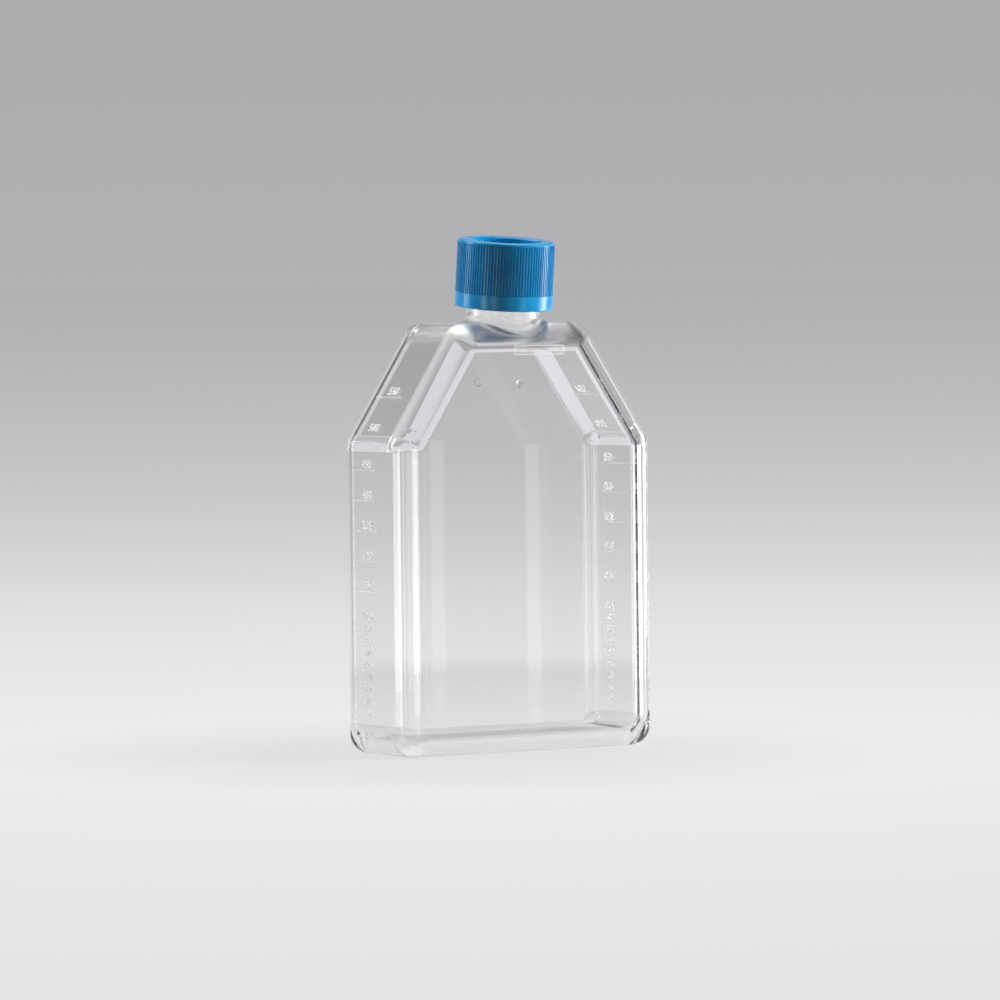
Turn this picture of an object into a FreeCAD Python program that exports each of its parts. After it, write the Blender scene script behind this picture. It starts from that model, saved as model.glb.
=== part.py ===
import FreeCAD, Part
import math
import os

from FreeCAD import Placement, Rotation, Vector

# A 175 cm2 cell culture flask in clear polystyrene, standing on its end, with a
# vented screw cap on a slightly canted neck. Millimetres, +Z up, -Y to the front.
# The origin is the middle of the flat base. The back face is the growth surface.

# body
body_width = 115.0
body_depth = 42.0
shoulder_height = 118.5
body_height = 163.0
top_width = 56.5
wall = 1.5
side_wall = 2.0
base_corner_radius = 8.0
shoulder_corner_radius = 8.0
top_corner_radius = 7.0

# rounding round the front and back faces; the front corners are thick
front_edge_radius = 6.8
front_inner_radius = 9.15
back_edge_radius = 5.5
back_inner_radius = 4.4
corner_spare = 0.2
inner_corner_spare = 0.65

# the front face leans back above a faint crease just over the shoulder corners
crease_rise = 1.0
front_setback = 0.8

# welded seam between the front shell and the growth plate
plate_rim = 6.0
tongue_width = 0.5
tongue_height = 0.8

# gate marks on the two broad faces
gate_height = 140.0
gate_offset = 3.5
gate_radius = 1.6
gate_proud = 0.3
gate_chamfer = 0.24

# graduations, raised bars on both narrow sides; volumes in ml
fine_marks = range(40, 200, 20)
coarse_marks = range(200, 500, 50)
shoulder_mark_heights = [116.5, 118.7, 135.3]
zero_height = 4.65
ml_height = 0.2297
bar_thickness = 0.35
bar_proud = 0.2
bar_sink = 0.4
coarse_bar_length = 18.0
fine_bar_length = 9.0
left_bars_to_seam = 1.5
right_bars_to_seam = 0.5

# neck, in a frame of its own: along the neck axis from the top of the body
neck_tilt = 6.3
neck_offset = -3.4
neck_outer_radius = 14.0
neck_wall = 1.8
neck_root = 8.0
flare_radius = 4.5
inner_flare_radius = 4.0
mouth_round = 0.5

# screw thread
thread_pitch = 4.0
thread_turns = 1.25
neck_thread_start = 14.5
thread_height = 1.9
thread_root_width = 2.2
thread_crest_width = 1.0
thread_sink = 0.3
crest_clearance = 0.4

# cap
cap_gap = 6.0
cap_height = 25.6
skirt_wall = 1.85
collar_height = 5.6
collar_step = 0.15
groove_depth = 0.45
rib_count = 100
rib_share = 0.35
rim_height = 1.0
rim_round = 0.8
rim_width = 5.6
recess_depth = 3.6
recess_chamfer = 0.6
cap_floor = 1.5
vent_count = 6
vent_radius = 1.7
skirt_chamfer = 0.6
collar_round = 0.5

# sealing ring and vent membrane inside the cap
seal_thickness = 1.2
seal_radial_clearance = 0.35
bead_height = 0.7
bead_gap = 0.3
bead_overlap = 0.6
bead_sink = 0.2
seal_overhang = 0.6
membrane_thickness = 0.25
membrane_seal_clearance = 0.4
vent_land = 2.0

front_y = -body_depth / 2
back_y = body_depth / 2
seam_y = back_y - plate_rim
crease_height = shoulder_height + crease_rise
neck_inner_radius = neck_outer_radius - neck_wall
thread_major_radius = neck_outer_radius + thread_height
cap_bore_radius = thread_major_radius + crest_clearance
cap_thread_crest_radius = neck_outer_radius + crest_clearance
rib_radius = cap_bore_radius + skirt_wall + groove_depth
collar_radius = rib_radius + collar_step
recess_radius = rib_radius - rim_width
cap_top = cap_gap + cap_height
recess_floor = cap_top - recess_depth
cap_underside = recess_floor - cap_floor
neck_mouth = cap_underside - seal_thickness
seal_inner_radius = neck_inner_radius - seal_overhang
seal_outer_radius = cap_bore_radius - seal_radial_clearance
membrane_radius = seal_inner_radius - membrane_seal_clearance
vent_circle_radius = membrane_radius - vent_land - vent_radius


def inset_corners(corners, inset):
    """The corners of a convex outline, given anticlockwise, moved inwards by inset."""
    moved = []
    count = len(corners)
    for i in range(count):
        before, here, after = corners[i - 1], corners[i], corners[(i + 1) % count]
        d1 = (here - before).normalize()
        d2 = (after - here).normalize()
        n1 = Vector(-d1.z, 0, d1.x)
        n2 = Vector(-d2.z, 0, d2.x)
        moved.append(here + (n1 + n2) * (inset / (1 + n1.dot(n2))))
    return moved


def rounded_face(corners, radii):
    """A flat face with straight sides and an arc of its own radius at each corner."""
    count = len(corners)
    ends = []
    for i in range(count):
        here = corners[i]
        to_before = (corners[i - 1] - here).normalize()
        to_after = (corners[(i + 1) % count] - here).normalize()
        half = to_before.getAngle(to_after) / 2
        reach = radii[i] / math.tan(half)
        centre = here + (to_before + to_after).normalize() * (radii[i] / math.sin(half))
        middle = centre + (here - centre).normalize() * radii[i]
        ends.append((here + to_before * reach, middle, here + to_after * reach))
    edges = []
    for i in range(count):
        start, middle, end = ends[i]
        edges.append(Part.Arc(start, middle, end).toShape())
        edges.append(Part.makeLine(end, ends[(i + 1) % count][0]))
    return Part.Face(Part.Wire(edges))


def body_slab(inset, y_low, y_high, radii=None):
    """The body's six-sided outline, moved inwards by inset, between two depths."""
    corners = [
        Vector(-body_width / 2, 0, 0),
        Vector(body_width / 2, 0, 0),
        Vector(body_width / 2, 0, shoulder_height),
        Vector(top_width / 2, 0, body_height),
        Vector(-top_width / 2, 0, body_height),
        Vector(-body_width / 2, 0, shoulder_height),
    ]
    outer_radii = [
        base_corner_radius,
        base_corner_radius,
        shoulder_corner_radius,
        top_corner_radius,
        top_corner_radius,
        shoulder_corner_radius,
    ]
    # a corner turns wider than the edge that is rounded round it
    radii = radii or [max(r, front_edge_radius + corner_spare) - inset for r in outer_radii]
    face = rounded_face(inset_corners(corners, inset), radii)
    face.translate(Vector(0, y_low, 0))
    return face.extrude(Vector(0, y_high - y_low, 0))


def setback_at(height):
    """How far the front face has leaned back at a height above the crease."""
    return front_setback * (height - crease_height) / (body_height - crease_height)


def front_lean_block(inset):
    """A block in front of the leaning upper part of the front face, moved inwards by inset."""
    low = front_y + inset
    top = 2 * body_height
    corners = [
        Vector(-body_width, low, crease_height),
        Vector(-body_width, low + setback_at(top), top),
        Vector(-body_width, low - wall, top),
        Vector(-body_width, low - wall, crease_height),
    ]
    face = Part.Face(Part.makePolygon(corners + corners[:1]))
    return face.extrude(Vector(2 * body_width, 0, 0))


def round_edges(slab, front_radius, back_radius):
    """Rounds the edges round the front and the back face. The crease stays as it is."""
    front = []
    for edge in slab.Edges:
        box = edge.BoundBox
        on_crease = box.ZLength < 1e-6 and abs(box.ZMin - crease_height) < 1e-6
        if box.YMax < 0 and not on_crease:
            front.append(edge)
    slab = slab.makeFillet(front_radius, front)
    return slab.makeFillet(back_radius, [e for e in slab.Edges if e.BoundBox.YMin > back_y - 2 * wall])


def outer_body():
    slab = body_slab(0, front_y, back_y).cut(front_lean_block(0))
    return round_edges(slab, front_edge_radius, back_edge_radius)


def inner_body():
    """The cavity. It is rounder than the outside, so the corners are thicker than the walls."""
    corner_radius = front_inner_radius + inner_corner_spare
    slab = body_slab(side_wall, front_y + wall, back_y - wall, [corner_radius] * 6)
    return round_edges(slab.cut(front_lean_block(wall)), front_inner_radius, back_inner_radius)


def revolve(points):
    """A solid of revolution about Z from (radius, height) points, all straight sides."""
    corners = [Vector(r, 0, h) for r, h in points]
    wire = Part.makePolygon(corners + corners[:1])
    return Part.Face(wire).revolve(Vector(0, 0, 0), Vector(0, 0, 1), 360)


def cylinder(radius, low, high):
    return Part.makeCylinder(radius, high - low, Vector(0, 0, low))


def on_neck(shape):
    """Moves a shape from the neck's own frame onto the body."""
    placed = shape.copy()
    base = Vector(0, neck_offset, body_height)
    placed.Placement = Placement(base, Rotation(Vector(1, 0, 0), neck_tilt))
    return placed


def thread_ridge(root_radius, crest_radius, start):
    """One helical ridge, right-handed, of trapezoid section."""
    section = Part.makePolygon([
        Vector(root_radius, 0, start - thread_root_width / 2),
        Vector(crest_radius, 0, start - thread_crest_width / 2),
        Vector(crest_radius, 0, start + thread_crest_width / 2),
        Vector(root_radius, 0, start + thread_root_width / 2),
        Vector(root_radius, 0, start - thread_root_width / 2),
    ])
    path = Part.makeHelix(thread_pitch, thread_pitch * thread_turns, crest_radius)
    path.translate(Vector(0, 0, start))
    return Part.Wire(path).makePipeShell([section], True, True)


def neck_tube(radius, top):
    return on_neck(cylinder(radius, -neck_root, top))


def with_flare(shape, tube_radius, radius):
    """Rounds the hollow corner where a neck tube meets the top of the body."""
    foot = Vector(0, neck_offset, body_height)
    axis = Rotation(Vector(1, 0, 0), neck_tilt).multVec(Vector(0, 0, 1))
    joint = []
    for edge in [e for e in shape.Edges if not e.Degenerated]:
        points = edge.discretize(5)
        on_tube = all(abs(p.distanceToLine(foot, axis) - tube_radius) < 0.01 for p in points)
        at_foot = all(abs(p.z - body_height) < front_edge_radius for p in points)
        if on_tube and at_foot:
            joint.append(edge)
    return shape.makeFillet(radius, joint)


def flask_body():
    """Both welded halves and the neck as one hollow shape."""
    tube = neck_tube(neck_outer_radius, neck_mouth)
    outside = with_flare(outer_body().fuse(tube), neck_outer_radius, flare_radius)
    lip = [e for e in outside.Edges if e.BoundBox.ZMin > body_height + neck_mouth / 2]
    outside = outside.makeFillet(mouth_round, lip)
    bore = neck_tube(neck_inner_radius, neck_mouth + wall)
    inside = with_flare(inner_body().fuse(bore), neck_inner_radius, inner_flare_radius)
    return outside.cut(inside)


def bars_on(side, back_end):
    """The raised bars on one narrow side: side is -1 for the left, 1 for the right."""
    marks = [(zero_height + v * ml_height, fine_bar_length) for v in fine_marks]
    marks += [(zero_height + v * ml_height, coarse_bar_length) for v in coarse_marks]
    marks += [(height, coarse_bar_length) for height in shoulder_mark_heights]
    front_end = back_end - coarse_bar_length
    band = body_slab(-bar_proud, front_end, back_end).cut(body_slab(bar_sink, front_end, back_end))
    bars = []
    for height, length in marks:
        corner = Vector(min(0, side * body_width), back_end - length, height - bar_thickness / 2)
        bars.append(band.common(Part.makeBox(body_width, length, bar_thickness, corner)))
    return bars


def gate_mark(surface, outward):
    """A small round gate mark on a broad face at depth surface: outward is -1 or 1 along Y."""
    foot = Vector(outward * gate_offset, surface - outward * wall / 2, gate_height)
    mark = Part.makeCylinder(gate_radius, wall / 2 + gate_proud, foot, Vector(0, outward, 0))
    top = surface + outward * gate_proud
    rim = [e for e in mark.Edges if abs(e.CenterOfMass.y - top) < 1e-3]
    return mark.makeChamfer(gate_chamfer, rim)


def seam_tongue():
    """The tongue on the growth plate's rim, in the middle of the wall."""
    outer_inset = (side_wall - tongue_width) / 2
    outer = body_slab(outer_inset, seam_y - tongue_height, seam_y)
    return outer.cut(body_slab(outer_inset + tongue_width, seam_y - tongue_height, seam_y))


def around(radius, angle):
    return Vector(radius * math.cos(angle), radius * math.sin(angle), 0)


def cap_outline():
    """Closed outline of the ribbed grip: flat-topped ribs with hollow grooves between."""
    step = 2 * math.pi / rib_count
    land = step * rib_share
    edges = []
    for i in range(rib_count):
        start = around(rib_radius, i * step)
        land_end = around(rib_radius, i * step + land)
        groove = around(rib_radius - groove_depth, i * step + (land + step) / 2)
        end = around(rib_radius, (i + 1) * step)
        edges.append(Part.makeLine(start, land_end))
        edges.append(Part.Arc(land_end, groove, end).toShape())
    return Part.Wire(edges)


def rounded_cylinder(radius, low, high, rounding, round_top):
    """A cylinder with its top or its bottom edge rounded."""
    solid = cylinder(radius, low, high)
    level = high if round_top else low
    edges = [e for e in solid.Edges if abs(e.BoundBox.ZMin - level) + abs(e.BoundBox.ZMax - level) < 1e-6]
    return solid.makeFillet(rounding, edges)


def cap_outside():
    """The ribbed grip with a smooth collar below it and a smooth rim above it."""
    collar_top = cap_gap + collar_height
    rim_low = cap_top - rim_height
    grip = Part.Face(cap_outline()).extrude(Vector(0, 0, rim_low - collar_top))
    grip.translate(Vector(0, 0, collar_top))
    collar = rounded_cylinder(collar_radius, cap_gap, collar_top, collar_round, False)
    rim = rounded_cylinder(rib_radius - groove_depth / 2, rim_low, cap_top, rim_round, True)
    return grip.fuse([collar, rim])


def cap_hollows():
    """What is cut from the cap: the top recess, the bore with its lead-in, and the vent holes."""
    recess = cylinder(recess_radius, recess_floor, cap_top)
    recess_lip = Part.makeCone(recess_radius, recess_radius + recess_chamfer, recess_chamfer,
                               Vector(0, 0, cap_top - recess_chamfer))
    bore = cylinder(cap_bore_radius, cap_gap, cap_underside)
    lead_in = Part.makeCone(cap_bore_radius + skirt_chamfer, cap_bore_radius, skirt_chamfer,
                            Vector(0, 0, cap_gap))
    vents = []
    for i in range(vent_count):
        vent = cylinder(vent_radius, cap_underside, recess_floor)
        vent.translate(around(vent_circle_radius, 2 * math.pi * i / vent_count))
        vents.append(vent)
    return [recess, recess_lip, bore, lead_in] + vents


def seal_bead():
    """The bead inside the cap that the sealing ring snaps over."""
    top = cap_underside - seal_thickness - bead_gap
    crest_radius = seal_outer_radius - bead_overlap
    root_radius = cap_bore_radius + bead_sink
    return revolve([
        (root_radius, top - bead_height),
        (cap_bore_radius, top - bead_height),
        (crest_radius, top - bead_height / 2),
        (crest_radius, top),
        (root_radius, top),
    ])


def cap_shell():
    """The screw cap. Its thread follows the neck's, half a pitch lower."""
    ridge = thread_ridge(cap_bore_radius + thread_sink, cap_thread_crest_radius,
                         neck_thread_start - thread_pitch / 2)
    return cap_outside().cut(cap_hollows()).fuse([seal_bead(), ridge])


def seal_ring():
    ring = cylinder(seal_outer_radius, neck_mouth, cap_underside)
    return ring.cut(cylinder(seal_inner_radius, neck_mouth, cap_underside))


def vent_membrane():
    return cylinder(membrane_radius, cap_underside - membrane_thickness, cap_underside)


def split_body():
    """The front shell with its neck, thread and marks, and the growth plate behind it."""
    hollow = flask_body()
    size = 2 * body_height
    behind = Part.makeBox(size, size, size, Vector(-size / 2, seam_y, -size / 4))
    tongue = seam_tongue()
    ridge = on_neck(thread_ridge(neck_outer_radius - thread_sink, thread_major_radius, neck_thread_start))
    front_gate = gate_mark(front_y + setback_at(gate_height), -1)
    bars = bars_on(-1, seam_y - left_bars_to_seam) + bars_on(1, seam_y - right_bars_to_seam)
    shell = hollow.cut([behind, tongue]).fuse([ridge, front_gate] + bars)
    plate = hollow.common(behind).fuse([tongue, gate_mark(back_y, 1)])
    return shell.removeSplitter(), plate.removeSplitter()


def save(shape, name):
    solids = shape.Solids
    kept = solids[0] if len(solids) == 1 else Part.makeCompound(solids)
    print(name, "solids", len(solids), "valid", kept.isValid(), "volume", round(kept.Volume, 1))
    kept.exportStep("parts/" + name + ".step")


os.makedirs("parts", exist_ok=True)
front_shell, growth_plate = split_body()
save(front_shell, "flask_shell")
save(growth_plate, "growth_plate")
save(on_neck(cap_shell()), "cap_shell")
save(on_neck(seal_ring()), "seal_ring")
save(on_neck(vent_membrane()), "vent_membrane")
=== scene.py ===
import math

import bmesh
import bpy
from mathutils import Matrix, Vector


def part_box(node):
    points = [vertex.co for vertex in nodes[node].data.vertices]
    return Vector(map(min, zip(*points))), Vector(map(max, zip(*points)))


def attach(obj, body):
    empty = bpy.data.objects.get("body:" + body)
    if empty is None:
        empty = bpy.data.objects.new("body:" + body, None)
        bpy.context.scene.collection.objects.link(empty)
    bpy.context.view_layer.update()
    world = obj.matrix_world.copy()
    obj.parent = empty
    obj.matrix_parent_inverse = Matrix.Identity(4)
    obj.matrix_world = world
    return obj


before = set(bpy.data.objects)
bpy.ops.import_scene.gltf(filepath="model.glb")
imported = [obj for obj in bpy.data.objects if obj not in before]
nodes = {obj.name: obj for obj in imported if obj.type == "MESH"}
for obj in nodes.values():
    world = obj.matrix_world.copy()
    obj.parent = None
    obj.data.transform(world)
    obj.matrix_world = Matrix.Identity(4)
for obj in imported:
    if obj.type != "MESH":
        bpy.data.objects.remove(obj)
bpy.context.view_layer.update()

mm = 0.001
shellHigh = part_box("flask_shell")[1]
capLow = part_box("cap_shell")[0]
print("frame loaded:", ", ".join(sorted(nodes)))


def newMaterial(name):
    material = bpy.data.materials.new(name)
    material.use_nodes = True
    material.node_tree.nodes.clear()
    return material, material.node_tree


def addNode(tree, kind, inputs=None, **settings):
    node = tree.nodes.new(kind)
    for key, value in settings.items():
        setattr(node, key, value)
    for key, value in (inputs or {}).items():
        node.inputs[key].default_value = value
    return node


def wire(tree, source, output, target, socket):
    tree.links.new(source.outputs[output], target.inputs[socket])


# in these a value is a plain number or a (node, output) pair
def feed(tree, value, target, socket):
    if isinstance(value, tuple):
        wire(tree, *value, target, socket)
    else:
        target.inputs[socket].default_value = value


def maths(tree, operation, *values):
    node = addNode(tree, "ShaderNodeMath", operation=operation)
    for socket, value in enumerate(values):
        feed(tree, value, node, socket)
    return node, "Value"


def ranged(tree, value, low, high, fromLow=0.0, fromHigh=1.0):
    node = addNode(tree, "ShaderNodeMapRange", {
        "From Min": fromLow, "From Max": fromHigh, "To Min": low, "To Max": high})
    feed(tree, value, node, "Value")
    return node, "Result"


def mixed(tree, share, first, second):
    mix = addNode(tree, "ShaderNodeMixShader")
    feed(tree, share, mix, 0)
    wire(tree, first, 0, mix, 1)
    wire(tree, second, 0, mix, 2)
    return mix


def noiseOn(tree, coords, scale, detail=3.0, roughness=0.5, stretch=(1, 1, 1)):
    mapping = addNode(tree, "ShaderNodeMapping", {"Scale": stretch})
    noise = addNode(tree, "ShaderNodeTexNoise", {
        "Scale": scale, "Detail": detail, "Roughness": roughness})
    wire(tree, coords, "Object", mapping, "Vector")
    wire(tree, mapping, "Vector", noise, "Vector")
    return noise, "Fac"


def bumpOn(tree, shader, value, strength, distance):
    bump = addNode(tree, "ShaderNodeBump", {"Strength": strength, "Distance": distance})
    feed(tree, value, bump, "Height")
    wire(tree, bump, "Normal", shader, "Normal")


def colourOn(tree, shader, value, dark, light):
    tone = addNode(tree, "ShaderNodeMix", {6: dark, 7: light}, data_type="RGBA")
    feed(tree, value, tone, 0)
    wire(tree, tone, 2, shader, "Base Color")


def stepsRamp(tree, value, steps, tint=(1, 1, 1)):
    ramp = addNode(tree, "ShaderNodeValToRGB")
    feed(tree, value, ramp, "Fac")
    points = ramp.color_ramp.elements
    for i, (spot, level) in enumerate(steps):
        point = points[i] if i < 2 else points.new(spot)     # a ramp starts with two points
        point.position = spot
        point.color = [level * part for part in tint] + [1]
    return ramp


def toSurface(tree, shader, kind="ShaderNodeOutputMaterial"):
    wire(tree, shader, 0, addNode(tree, kind), "Surface")


def giveMaterial(obj, material):
    if obj.material_slots:
        for slot in obj.material_slots:
            slot.material = material
    else:
        obj.data.materials.append(material)


body = {
    "halfWidth": shellHigh.x - 0.2 * mm,      # the bars stand 0.2 mm proud of the sides
    "shoulder": 118.5 * mm,
    "top": 163.0 * mm,
    "halfTop": 28.25 * mm,
    "frontY": -21.0 * mm,
    "crease": 119.5 * mm,
    "setback": 0.8 * mm,
}

clearFinish = {
    "tint": (0.985, 0.992, 0.994, 1),
    "ior": 1.59,
    "roughness": (0.0, 0.02),
    "hazeScale": 160,
    "flowScale": 45,          # slow waves left by the moulding
    "flowStretch": (1, 1, 0.35),
    "flowHeight": 0.03 * mm,
    "neck": (capLow.z - 13 * mm, capLow.z - 9 * mm),     # the moulding turns slightly dull up here
    "neckHaze": 0.2,
    "lampShare": 0.85,        # how much lamp light a wall lets through
    "weld": (14.6 * mm, 0.5 * mm),           # where the two halves are welded: middle and half depth
    "weldFlat": 0.9,          # how squarely a face there looks forward or back
    "weldInWall": (1.0 * mm, 0.38 * mm),     # the tongue runs this far inside the wall
}


def weldMask(tree, coords):
    # 1 on the faces where the halves meet, so that light runs on through the weld
    place = addNode(tree, "ShaderNodeSeparateXYZ")
    wire(tree, coords, "Object", place, "Vector")
    shape = addNode(tree, "ShaderNodeNewGeometry")
    facing = addNode(tree, "ShaderNodeSeparateXYZ")
    wire(tree, shape, "True Normal", facing, "Vector")
    inside = maths(tree, "COMPARE", (place, "Y"), *clearFinish["weld"])
    squarely = maths(tree, "ABSOLUTE", (facing, "Y"))
    flat = maths(tree, "GREATER_THAN", squarely, clearFinish["weldFlat"])
    # how deep in the wall a point lies: the least of its distances to the side, slant, end and base
    slant = Vector((body["halfTop"] - body["halfWidth"], body["top"] - body["shoulder"])).normalized()
    across = maths(tree, "ABSOLUTE", (place, "X"))
    toSide = maths(tree, "SUBTRACT", body["halfWidth"], across)
    above = maths(tree, "SUBTRACT", (place, "Z"), body["shoulder"])
    leaned = maths(tree, "MULTIPLY", above, slant.x)
    toSlant = maths(tree, "MULTIPLY_ADD", toSide, slant.y, leaned)
    toEnd = maths(tree, "SUBTRACT", body["top"], (place, "Z"))
    least = toSide
    for distance in (toSlant, toEnd, (place, "Z")):
        least = maths(tree, "MINIMUM", least, distance)
    buried = maths(tree, "COMPARE", least, *clearFinish["weldInWall"])
    hidden = maths(tree, "MAXIMUM", flat, buried)
    return maths(tree, "MULTIPLY", inside, hidden)


def clearPolystyrene(name, seed):
    material, tree = newMaterial(name)
    coords = addNode(tree, "ShaderNodeTexCoord")
    shader = addNode(tree, "ShaderNodeBsdfPrincipled", {
        "Base Color": clearFinish["tint"], "IOR": clearFinish["ior"],
        "Transmission Weight": 1.0, "Metallic": 0.0})
    flow = noiseOn(tree, coords, clearFinish["flowScale"], 2.0, 0.4, clearFinish["flowStretch"])
    bumpOn(tree, shader, flow, 0.35, clearFinish["flowHeight"])
    haze = noiseOn(tree, coords, clearFinish["hazeScale"] + seed, 4.0, 0.6)
    rough = ranged(tree, haze, *clearFinish["roughness"], 0.35, 0.8)
    place = addNode(tree, "ShaderNodeSeparateXYZ")
    wire(tree, coords, "Object", place, "Vector")
    dull = ranged(tree, (place, "Z"), 0.0, clearFinish["neckHaze"], *clearFinish["neck"])
    feed(tree, maths(tree, "MAXIMUM", rough, dull), shader, "Roughness")
    path = addNode(tree, "ShaderNodeLightPath")
    share = clearFinish["lampShare"]
    through = addNode(tree, "ShaderNodeBsdfTransparent", {"Color": (share, share, share, 1)})
    wall = mixed(tree, (path, "Is Shadow Ray"), shader, through)
    clear = addNode(tree, "ShaderNodeBsdfTransparent", {"Color": (1, 1, 1, 1)})
    toSurface(tree, mixed(tree, weldMask(tree, coords), wall, clear))
    return material


capFinish = {
    "deep": (0.001, 0.215, 0.470, 1),
    "light": (0.002, 0.290, 0.580, 1),
    "cloudScale": 90,
    "ior": 1.51,
    "specular": 0.25,
    "roughness": (0.12, 0.20),
    "patchScale": 400,
    "scatter": 0.15,
    "scatterDepth": 2.2 * mm,
    "grainScale": 2600,
    "grainHeight": 0.04 * mm,
}


def bluePolyethylene(name):
    material, tree = newMaterial(name)
    coords = addNode(tree, "ShaderNodeTexCoord")
    shader = addNode(tree, "ShaderNodeBsdfPrincipled", {
        "IOR": capFinish["ior"], "Specular IOR Level": capFinish["specular"],
        "Subsurface Weight": capFinish["scatter"], "Subsurface Radius": (0.3, 0.8, 1.0),
        "Subsurface Scale": capFinish["scatterDepth"]})
    cloud = noiseOn(tree, coords, capFinish["cloudScale"], 3.0, 0.55)
    spread = ranged(tree, cloud, 0.0, 1.0, 0.3, 0.7)
    colourOn(tree, shader, spread, capFinish["deep"], capFinish["light"])
    grain = noiseOn(tree, coords, capFinish["grainScale"], 2.0, 0.6)
    bumpOn(tree, shader, grain, 0.5, capFinish["grainHeight"])
    patches = noiseOn(tree, coords, capFinish["patchScale"])
    feed(tree, ranged(tree, patches, *capFinish["roughness"], 0.3, 0.7), shader, "Roughness")
    toSurface(tree, shader)
    return material


filmFinish = {
    # the first colour is painted shade, put in the pits of the pores
    "paintedPoreShade": (0.78, 0.79, 0.79, 1),
    "light": (0.92, 0.93, 0.92, 1),
    "poreScale": 5200,
    "poreDepth": 0.03 * mm,
    "roughness": 0.85,
    "scatter": 0.3,
    "scatterDepth": 0.4 * mm,
}


def porousFilm(name):
    material, tree = newMaterial(name)
    coords = addNode(tree, "ShaderNodeTexCoord")
    shader = addNode(tree, "ShaderNodeBsdfPrincipled", {
        "Roughness": filmFinish["roughness"], "Subsurface Weight": filmFinish["scatter"],
        "Subsurface Radius": (1.0, 1.0, 1.0), "Subsurface Scale": filmFinish["scatterDepth"]})
    poresAndPaintedShade = addNode(tree, "ShaderNodeTexVoronoi", {"Scale": filmFinish["poreScale"]}, feature="F1")
    wire(tree, coords, "Object", poresAndPaintedShade, "Vector")
    # painted shade: each pore is coloured darker toward its deepest middle, where shade would fall in it
    colourOn(tree, shader, (poresAndPaintedShade, "Distance"), filmFinish["paintedPoreShade"], filmFinish["light"])
    bumpOn(tree, shader, (poresAndPaintedShade, "Distance"), 0.6, filmFinish["poreDepth"])
    toSurface(tree, shader)
    return material


sealFinish = {
    "deep": (0.78, 0.80, 0.83, 1),
    "light": (0.86, 0.88, 0.90, 1),
    "cloudScale": 300,
    "ior": 1.43,
    "clearness": 0.35,
    "roughness": (0.4, 0.6),
    "scatter": 0.4,
    "scatterDepth": 1.0 * mm,
    "bumpHeight": 0.03 * mm,
}


def softSeal(name):
    material, tree = newMaterial(name)
    coords = addNode(tree, "ShaderNodeTexCoord")
    shader = addNode(tree, "ShaderNodeBsdfPrincipled", {
        "IOR": sealFinish["ior"], "Transmission Weight": sealFinish["clearness"],
        "Subsurface Weight": sealFinish["scatter"], "Subsurface Radius": (1.0, 1.0, 1.0),
        "Subsurface Scale": sealFinish["scatterDepth"]})
    cloud = noiseOn(tree, coords, sealFinish["cloudScale"])
    colourOn(tree, shader, cloud, sealFinish["deep"], sealFinish["light"])
    feed(tree, ranged(tree, cloud, *sealFinish["roughness"], 0.3, 0.7), shader, "Roughness")
    bumpOn(tree, shader, cloud, 0.3, sealFinish["bumpHeight"])
    toSurface(tree, shader)
    return material


frostFinish = {
    "colour": (0.93, 0.94, 0.95, 1),
    "numbers": 0.55,          # how much of the wall behind a number is hidden
    "lines": 0.26,
    "pad": 0.10,
    "patchy": 0.15,           # how unevenly it hides the wall
    "ior": 1.59,
    "roughness": (0.35, 0.6),
    "scatter": 0.5,
    "scatterDepth": 0.8 * mm,
    "grainScale": 2200,
    "grainHeight": 0.03 * mm,
}


def frostedMoulding(name, cover):
    material, tree = newMaterial(name)
    coords = addNode(tree, "ShaderNodeTexCoord")
    shader = addNode(tree, "ShaderNodeBsdfPrincipled", {
        "Base Color": frostFinish["colour"], "IOR": frostFinish["ior"],
        "Subsurface Weight": frostFinish["scatter"], "Subsurface Radius": (1.0, 1.0, 1.0),
        "Subsurface Scale": frostFinish["scatterDepth"]})
    frost = noiseOn(tree, coords, frostFinish["grainScale"], 3.0, 0.6)
    bumpOn(tree, shader, frost, 0.6, frostFinish["grainHeight"])
    feed(tree, ranged(tree, frost, *frostFinish["roughness"], 0.3, 0.7), shader, "Roughness")
    thin = cover * (1 - frostFinish["patchy"])
    thick = cover * (1 + frostFinish["patchy"])
    feed(tree, ranged(tree, frost, thin, thick, 0.3, 0.7), shader, "Alpha")
    toSurface(tree, shader)
    return material


giveMaterial(nodes["flask_shell"], clearPolystyrene("clear polystyrene shell", 0))
giveMaterial(nodes["growth_plate"], clearPolystyrene("clear polystyrene plate", 25))
giveMaterial(nodes["cap_shell"], bluePolyethylene("blue polyethylene"))
giveMaterial(nodes["vent_membrane"], porousFilm("porous vent film"))
giveMaterial(nodes["seal_ring"], softSeal("soft seal"))
frostedNumbers = frostedMoulding("frosted numbers", frostFinish["numbers"])
frostedLines = frostedMoulding("frosted lines", frostFinish["lines"])
frostedPad = frostedMoulding("frosted writing pad", frostFinish["pad"])
print("finishes on the moulded pieces")


marks = {
    "fine": list(range(40, 200, 20)),
    "coarse": list(range(200, 500, 50)),
    "zero": 4.65 * mm,
    "perMl": 0.2297 * mm,
    "rise": 2.25 * mm,            # a number's middle above its line
    "fineHeight": 2.5 * mm,
    "coarseHeight": 3.4 * mm,
    "proud": 0.22 * mm,
    "sunk": 0.05 * mm,
    "lineProud": 0.24 * mm,
    "lineThickness": 0.38 * mm,
    "leftBack": 13.5 * mm,
    "rightBack": 14.5 * mm,
    "fineLength": 9.0 * mm,
    "coarseLength": 18.0 * mm,
    "leftNumbersY": 3.0 * mm,
    "rightNumbersY": 9.8 * mm,
    "onShoulder": [("500", 124.0 * mm), ("550", 137.6 * mm)],
    "shoulderLines": [118.7 * mm, 135.3 * mm],
    "swell": 0.02,                # how much bolder than the plain letters, as a share of their size
    "roundness": 3,               # how finely the letters' curves are cut
}


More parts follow.
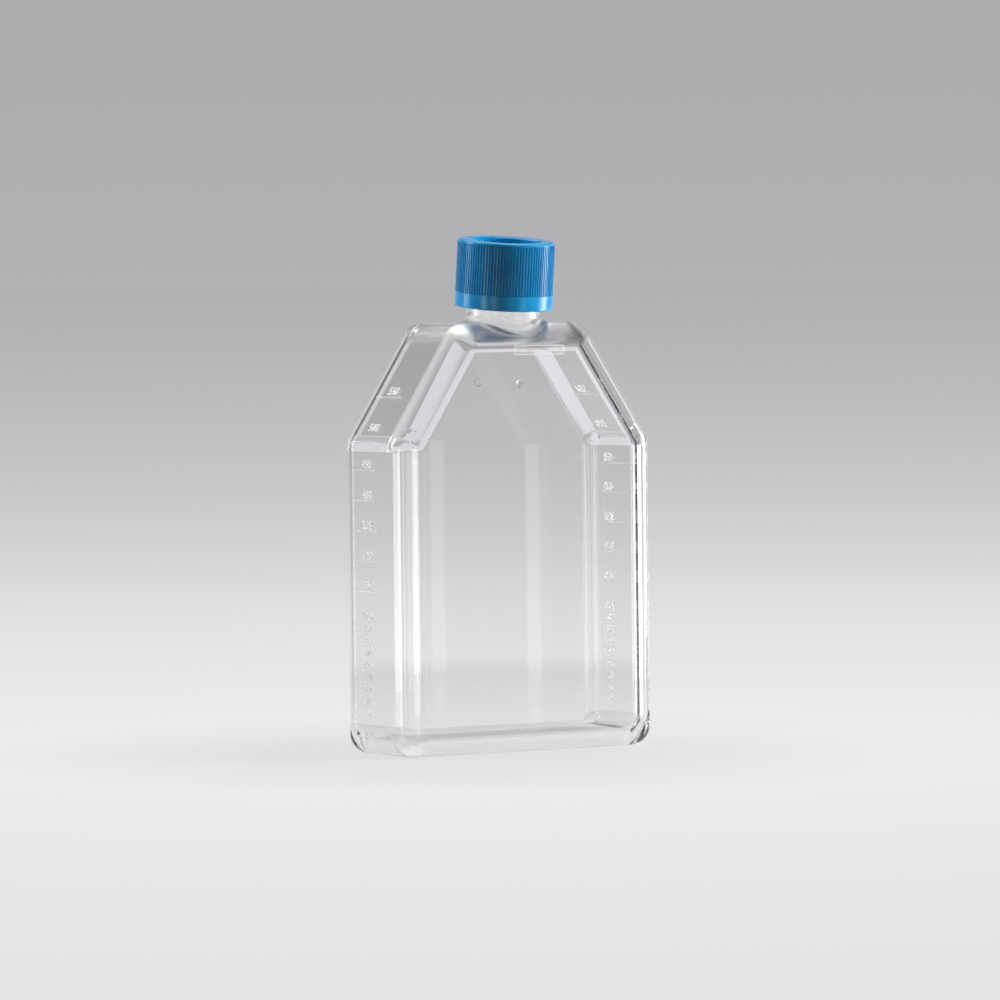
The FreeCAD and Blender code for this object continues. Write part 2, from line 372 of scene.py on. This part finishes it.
def meshOfText(text, height, depth):
    curve = bpy.data.curves.new("numbers", "FONT")
    curve.body = text
    curve.size = 1.0
    curve.extrude = 0.08          # any thickness does, since it is scaled to the depth below
    curve.resolution_u = marks["roundness"]
    curve.offset = marks["swell"]
    curve.align_x = "CENTER"
    holder = bpy.data.objects.new("numbers", curve)
    bpy.context.scene.collection.objects.link(holder)
    bpy.context.view_layer.update()
    mesh = bpy.data.meshes.new_from_object(holder)
    bpy.data.objects.remove(holder)
    xs = [v.co.x for v in mesh.vertices]
    ys = [v.co.y for v in mesh.vertices]
    zs = [v.co.z for v in mesh.vertices]
    scale = height / (max(ys) - min(ys))
    mesh.transform(Matrix.Translation((-(max(xs) + min(xs)) / 2, -(max(ys) + min(ys)) / 2, -min(zs))))
    mesh.transform(Matrix.Diagonal((scale, scale, depth / (max(zs) - min(zs)), 1)))
    return mesh


def seated(spot, right, up):
    normal = right.cross(up)
    turn = Matrix((right, up, normal)).transposed().to_4x4()
    return Matrix.Translation(spot) @ turn


def addNumber(bm, text, height, place):
    mesh = meshOfText(text, height, marks["proud"] + marks["sunk"])
    mesh.transform(place @ Matrix.Translation((0, 0, -marks["sunk"])))
    bm.from_mesh(mesh)
    bpy.data.meshes.remove(mesh)


def addLine(bm, length, place):
    made = bmesh.ops.create_cube(bm, size=1.0)
    scale = Matrix.Diagonal((length, marks["lineThickness"], marks["lineProud"], 1))
    shift = Matrix.Translation((0, 0, marks["lineProud"] / 2))
    bmesh.ops.transform(bm, matrix=place @ shift @ scale, verts=made["verts"])


def lineHeight(volume):
    return marks["zero"] + volume * marks["perMl"]


def sideFrame(side, height):
    narrowing = body["halfTop"] - body["halfWidth"]
    climb = body["top"] - body["shoulder"]
    if height < body["shoulder"]:
        x = body["halfWidth"]
        up = Vector((0, 0, 1))
    else:
        rise = (height - body["shoulder"]) / climb
        x = body["halfWidth"] + narrowing * rise
        up = Vector((side * narrowing, 0, climb)).normalized()
    return Vector((side * x, 0, height)), Vector((0, side, 0)), up


def finishedPiece(name, bm, material):
    bmesh.ops.remove_doubles(bm, verts=bm.verts, dist=1e-7)
    bmesh.ops.recalc_face_normals(bm, faces=bm.faces)
    mesh = bpy.data.meshes.new(name)
    bm.to_mesh(mesh)
    bm.free()
    piece = bpy.data.objects.new(name, mesh)
    bpy.context.scene.collection.objects.link(piece)
    giveMaterial(piece, material)
    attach(piece, "flask")


def volumeNumbers(name, side, middle):
    bm = bmesh.new()
    entries = [(str(v), lineHeight(v) + marks["rise"], marks["fineHeight"]) for v in marks["fine"]]
    entries += [(str(v), lineHeight(v) + marks["rise"], marks["coarseHeight"]) for v in marks["coarse"]]
    entries += [(text, height, marks["coarseHeight"]) for text, height in marks["onShoulder"]]
    for text, height, tall in entries:
        spot, right, up = sideFrame(side, height)
        spot.y = middle
        addNumber(bm, text, tall, seated(spot, right, up))
    finishedPiece(name, bm, frostedNumbers)


def volumeLines(name, side, back):
    bm = bmesh.new()
    entries = [(lineHeight(v), marks["fineLength"]) for v in marks["fine"]]
    entries += [(lineHeight(v), marks["coarseLength"]) for v in marks["coarse"]]
    entries += [(height, marks["coarseLength"]) for height in marks["shoulderLines"]]
    for height, length in entries:
        spot, right, up = sideFrame(side, height)
        spot.y = back - length / 2
        addLine(bm, length, seated(spot, right, up))
    finishedPiece(name, bm, frostedLines)


volumeNumbers("volume_numbers_left", -1, marks["leftNumbersY"])
volumeNumbers("volume_numbers_right", 1, marks["rightNumbersY"])
volumeLines("volume_lines_left", -1, marks["leftBack"])
volumeLines("volume_lines_right", 1, marks["rightBack"])
print("volume marks made")


# a small bare writing pad with a raised frame, high on the front face
pad = {
    "centre": (5.5 * mm, 152.6 * mm),
    "size": (22.8 * mm, 3.7 * mm),
    "corner": 0.7 * mm,
    "cornerSegments": 5,
    "band": 0.38 * mm,
    "proud": 0.16 * mm,
    "sunk": 0.03 * mm,
    "fieldInset": 0.608 * mm,
    "fieldCorner": 0.42 * mm,
    "fieldProud": 0.056 * mm,
}


def roundedPlate(bm, width, height, corner):
    made = bmesh.ops.create_grid(bm, x_segments=1, y_segments=1, size=0.5)
    scale = Matrix.Diagonal((width, height, 1, 1))
    bmesh.ops.transform(bm, matrix=scale, verts=made["verts"])
    bmesh.ops.bevel(bm, geom=bm.verts[:], offset=corner, offset_type="OFFSET",
                    segments=pad["cornerSegments"], profile=0.5, affect="VERTICES", material=-1)


def thickened(bm, low, high):
    bmesh.ops.translate(bm, verts=bm.verts[:], vec=(0, 0, low))
    grown = bmesh.ops.extrude_face_region(bm, geom=bm.faces[:], use_keep_orig=True)
    moved = [part for part in grown["geom"] if isinstance(part, bmesh.types.BMVert)]
    bmesh.ops.translate(bm, verts=moved, vec=(0, 0, high - low))


def padPlace():
    x, z = pad["centre"]
    lean = body["setback"] / (body["top"] - body["crease"])
    up = Vector((0, lean, 1)).normalized()
    return seated(Vector((x, body["frontY"] + lean * (z - body["crease"]), z)), Vector((1, 0, 0)), up)


def writingPad():
    width, height = pad["size"]
    bm = bmesh.new()
    roundedPlate(bm, width, height, pad["corner"])
    bmesh.ops.inset_region(bm, faces=bm.faces[:], thickness=pad["band"], depth=0,
                           use_boundary=True, use_even_offset=True)
    middle = max(bm.faces, key=lambda face: face.calc_area())
    bmesh.ops.delete(bm, geom=[middle], context="FACES_ONLY")
    thickened(bm, -pad["sunk"], pad["proud"])
    bmesh.ops.transform(bm, matrix=padPlace(), verts=bm.verts[:])
    finishedPiece("writing_pad_frame", bm, frostedNumbers)
    bm = bmesh.new()
    inset = pad["fieldInset"]
    roundedPlate(bm, width - 2 * inset, height - 2 * inset, pad["fieldCorner"])
    thickened(bm, -pad["sunk"], pad["fieldProud"])
    bmesh.ops.transform(bm, matrix=padPlace(), verts=bm.verts[:])
    finishedPiece("writing_pad", bm, frostedPad)


writingPad()
print("writing pad made")


towardCamera = Vector((-0.543, -0.839, 0))
cameraRight = Vector((0.839, -0.543, 0))

floor = {
    "size": 400.0,
    "level": -0.0001,
    "near": (0.50, 0.495, 0.50, 1),
    "bounce": 0.15,               # how much of the far floor's brightness falls on matt surfaces
    "ownShare": 0.60,             # how much of its brightness the near floor keeps under any light
    "steps": [(0.0, 0.85), (0.19, 0.85), (0.42, 0.82), (0.74, 0.79), (1.13, 0.75), (1.64, 0.68),
              (2.75, 0.60), (4.7, 0.54), (15.0, 0.47), (60.0, 0.447)],      # metres out, brightness
    "stepsReach": 2.0,            # the distance that falls on the middle of the ramp
    "tint": (1, 0.99, 1),
    "sector": (0.80, 0.95),       # cosines away from straight behind
    "close": (0.20, 0.30),
    "sideDim": 0.72,
    "fade": (0.09, 0.21),
    "mirrorEnd": (0.46, 0.60),    # how far out it mirrors the lamps into the clear edges
    "polish": 0.05,
    "polishColour": (0.98, 0.98, 0.98, 1),
    "polishIor": 1.35,
    "polishShare": 0.85,
}


def paleFloor(name):
    material, tree = newMaterial(name)
    coords = addNode(tree, "ShaderNodeTexCoord")
    length = addNode(tree, "ShaderNodeVectorMath", operation="LENGTH")
    wire(tree, coords, "Object", length, 0)
    out = (length, "Value")
    # a distance r sits at r / (r + reach) on the ramp
    reach = floor["stepsReach"]
    share = maths(tree, "DIVIDE", out, maths(tree, "ADD", out, reach))
    ramp = stepsRamp(tree, share, [(r / (r + reach), level) for r, level in floor["steps"]], floor["tint"])
    glow = addNode(tree, "ShaderNodeEmission")
    wire(tree, ramp, "Color", glow, "Color")
    path = addNode(tree, "ShaderNodeLightPath")
    direct = (path, "Is Camera Ray")
    clear = maths(tree, "MAXIMUM", (path, "Is Glossy Ray"), (path, "Is Transmission Ray"))
    strength = ranged(tree, maths(tree, "MAXIMUM", direct, clear), floor["bounce"], 1.0)
    # through the clear walls the floor is dimmer to the sides than straight behind
    heading = addNode(tree, "ShaderNodeVectorMath", operation="NORMALIZE")
    wire(tree, coords, "Object", heading, 0)
    behind = addNode(tree, "ShaderNodeVectorMath", {1: -towardCamera}, operation="DOT_PRODUCT")
    wire(tree, heading, "Vector", behind, 0)
    sector = ranged(tree, (behind, "Value"), floor["sideDim"], 1.0, *floor["sector"])
    close = ranged(tree, out, 1.0, 0.0, *floor["close"])
    shown = maths(tree, "MAXIMUM", maths(tree, "MAXIMUM", sector, close), direct)
    feed(tree, maths(tree, "MULTIPLY", strength, shown), glow, "Strength")
    matt = addNode(tree, "ShaderNodeBsdfDiffuse", {"Color": floor["near"]})
    even = mixed(tree, floor["ownShare"], matt, glow)
    # only the clear and glossy surfaces see the floor's polish
    polish = addNode(tree, "ShaderNodeBsdfGlossy", {
        "Color": floor["polishColour"], "Roughness": floor["polish"]})
    fresnel = addNode(tree, "ShaderNodeFresnel", {"IOR": floor["polishIor"]})
    indirect = maths(tree, "SUBTRACT", 1.0, direct)
    share = maths(tree, "MULTIPLY", indirect, floor["polishShare"])
    shine = maths(tree, "MULTIPLY", (fresnel, "Fac"), share)
    near = mixed(tree, shine, even, polish)
    chosen = addNode(tree, "ShaderNodeMix", data_type="FLOAT")
    feed(tree, direct, chosen, 0)
    feed(tree, ranged(tree, out, 0.0, 1.0, *floor["mirrorEnd"]), chosen, 2)
    feed(tree, ranged(tree, out, 0.0, 1.0, *floor["fade"]), chosen, 3)
    toSurface(tree, mixed(tree, (chosen, 0), near, glow))
    return material


def makeFloor():
    bm = bmesh.new()
    bmesh.ops.create_grid(bm, x_segments=1, y_segments=1, size=floor["size"] / 2)
    bmesh.ops.translate(bm, verts=bm.verts, vec=(0, 0, floor["level"]))
    mesh = bpy.data.meshes.new("floor")
    bm.to_mesh(mesh)
    bm.free()
    piece = bpy.data.objects.new("floor", mesh)
    bpy.context.scene.collection.objects.link(piece)
    giveMaterial(piece, paleFloor("pale floor"))


# each step is a height on the sky, 0 at the horizon and 1 overhead, and its brightness
surround = {
    "fill": 0.08,
    "behind": [(0.0, 0.447), (0.03, 0.42), (0.15, 0.40), (0.45, 0.36), (1.0, 0.30)],
    "around": [(0.0, 0.447), (0.012, 0.80), (0.085, 0.77), (0.125, 0.30), (0.18, 0.44),
               (0.45, 0.10), (1.0, 0.22)],
    "turns": [(-1.0, 1.0), (-0.85, 1.0), (-0.6, 0.8), (0.35, 0.75), (0.9, 0.25)],    # away .. toward
    "tint": (1, 0.99, 1.02),
}


def makeSurround():
    world = bpy.data.worlds.new("surround")
    world.use_nodes = True
    tree = world.node_tree
    tree.nodes.clear()
    coords = addNode(tree, "ShaderNodeTexCoord")
    split = addNode(tree, "ShaderNodeSeparateXYZ")
    wire(tree, coords, "Generated", split, "Vector")
    path = addNode(tree, "ShaderNodeLightPath")
    fill = addNode(tree, "ShaderNodeBackground", {"Color": (1, 1, 1, 1), "Strength": surround["fill"]})
    behind = addNode(tree, "ShaderNodeBackground", {"Strength": 1.0})
    around = addNode(tree, "ShaderNodeBackground")
    for light, steps in ((behind, surround["behind"]), (around, surround["around"])):
        ramp = stepsRamp(tree, (split, "Z"), steps, surround["tint"])
        wire(tree, ramp, "Color", light, "Color")
    # the room is dimmer on the camera's side
    ahead = addNode(tree, "ShaderNodeVectorMath", {1: towardCamera}, operation="DOT_PRODUCT")
    wire(tree, coords, "Generated", ahead, 0)
    turn = ranged(tree, (ahead, "Value"), 0.0, 1.0, -1.0, 1.0)
    shade = stepsRamp(tree, turn, [((spot + 1) / 2, level) for spot, level in surround["turns"]])
    wire(tree, shade, "Color", around, "Strength")
    clear = maths(tree, "MAXIMUM", (path, "Is Transmission Ray"), (path, "Is Glossy Ray"))
    indirect = mixed(tree, clear, fill, around)
    toSurface(tree, mixed(tree, (path, "Is Camera Ray"), indirect, behind), "ShaderNodeOutputWorld")
    bpy.context.scene.world = world


# each lamp stands on a ring round the object: degrees from the camera's side, low and high edge in
# metres, how bright it is, and which surfaces it reaches
lamps = {
    "lamp_right": {"turn": (88, 106), "rise": (0.0, 0.13), "level": 3.8, "reach": "all"},
    "lamp_right_back": {"turn": (124, 152), "rise": (0.0, 0.13), "level": 1.2, "reach": "clear"},
    "lamp_right_high": {"turn": (78, 126), "rise": (0.14, 0.45), "level": 1.0, "reach": "clear"},
    "lamp_left_high": {"turn": (-107, -84), "rise": (0.15, 0.45), "level": 6.0, "reach": "clear"},
    "lamp_left_front": {"turn": (-54, -38), "rise": (0.0, 0.14), "level": 5.0, "reach": "clear"},
    "lamp_front": {"turn": (-30, -14), "rise": (0.0, 0.14), "level": 2.0, "reach": "clear"},
    "lamp_front_low": {"turn": (44, 52), "rise": (0.0, 0.13), "level": 3.4, "reach": "clear"},
    "lamp_right_soft": {"turn": (66, 112), "rise": (0.14, 0.45), "level": 15.0, "reach": "matt"},
    "lamp_left_soft": {"turn": (-107, -78), "rise": (0.14, 0.45), "level": 11.5, "reach": "matt"},
    "lamp_right_strip": {"turn": (98, 120), "rise": (0.02, 0.22), "level": 12.0, "reach": "gloss"},
    "lamp_thin": {"turn": (64.45, 65.25), "rise": (0.0, 0.106), "level": 0.7, "reach": "clear",
                  "sharp": True},
}
lampRing = {
    "distance": 0.45,
    "sideFade": 0.22,             # the share of a lamp's width over which its light fades out
}
lampReach = {                     # matt, glossy, clear
    "all": (True, True, True),
    "clear": (False, True, True),
    "matt": (True, False, False),
    "gloss": (False, True, False),
}
topLamp = {"size": (0.42, 0.5), "offset": -0.08, "back": 0.1, "height": 0.5, "level": 2.4}


def areaLamp(name, width, height, level):
    data = bpy.data.lights.new(name, "AREA")
    data.shape = "RECTANGLE"
    data.size = width
    data.size_y = height
    data.energy = level * math.pi * width * height
    obj = bpy.data.objects.new(name, data)
    obj.visible_camera = False
    bpy.context.scene.collection.objects.link(obj)
    return obj


def softenSides(data):
    # the lamp's light fades toward its upright sides, as a softbox does
    data.use_nodes = True
    tree = data.node_tree
    tree.nodes.clear()
    shape = addNode(tree, "ShaderNodeNewGeometry")
    split = addNode(tree, "ShaderNodeSeparateXYZ")
    wire(tree, shape, "Parametric", split, "Vector")
    fade = lampRing["sideFade"]
    rise = ranged(tree, (split, "X"), 0.0, 1.0, 0.0, fade)
    fall = ranged(tree, (split, "X"), 1.0, 0.0, 1.0 - fade, 1.0)
    light = addNode(tree, "ShaderNodeEmission")
    feed(tree, maths(tree, "MINIMUM", rise, fall), light, "Strength")
    toSurface(tree, light, "ShaderNodeOutputLight")


def ringLamp(name, lamp):
    start, end = lamp["turn"]
    low, high = lamp["rise"]
    distance = lampRing["distance"]
    width = 2 * distance * math.tan(math.radians((end - start) / 2))
    middle = math.radians((start + end) / 2)
    side = towardCamera * math.cos(middle) + cameraRight * math.sin(middle)
    obj = areaLamp(name, width, high - low, lamp["level"])
    if "sharp" not in lamp:
        softenSides(obj.data)
    obj.location = side * distance + Vector((0, 0, (high + low) / 2))
    obj.rotation_euler = (-side).to_track_quat("-Z", "Y").to_euler()
    obj.visible_diffuse, obj.visible_glossy, obj.visible_transmission = lampReach[lamp["reach"]]


def makeLamps():
    for name, lamp in lamps.items():
        ringLamp(name, lamp)
    obj = areaLamp("lamp_top", *topLamp["size"], topLamp["level"])
    spot = cameraRight * topLamp["offset"] - towardCamera * topLamp["back"]
    spot.z = topLamp["height"]
    turn = Matrix((cameraRight, -towardCamera, Vector((0, 0, 1)))).transposed().to_4x4()
    obj.matrix_world = Matrix.Translation(spot) @ turn


camera = {
    "place": Vector((-1.324171, -2.047658, 0.179571)),
    "right": Vector((0.83941866, -0.54338141, -0.01062761)),
    "up": Vector((0.02768453, 0.02322169, 0.99934695)),
    "forward": Vector((0.54277977, 0.8391647, -0.03453598)),
    "lens": 230.06,
    "sensor": 36.0,
}


def makeCamera():
    data = bpy.data.cameras.new("camera")
    data.lens = camera["lens"]
    data.sensor_width = camera["sensor"]
    data.clip_start = 0.05
    data.clip_end = 1000.0
    obj = bpy.data.objects.new("camera", data)
    turn = Matrix((camera["right"], camera["up"], -camera["forward"])).transposed()
    obj.matrix_world = Matrix.Translation(camera["place"]) @ turn.to_4x4()
    bpy.context.scene.collection.objects.link(obj)
    bpy.context.scene.camera = obj


makeFloor()
makeSurround()
makeLamps()
makeCamera()
bpy.context.scene.view_settings.view_transform = "Standard"
lightBounces = 24                 # light runs a long way along the clear walls
for limit in ("max_bounces", "glossy_bounces", "transmission_bounces"):
    setattr(bpy.context.scene.cycles, limit, lightBounces)
print("floor, lamps and camera in place")
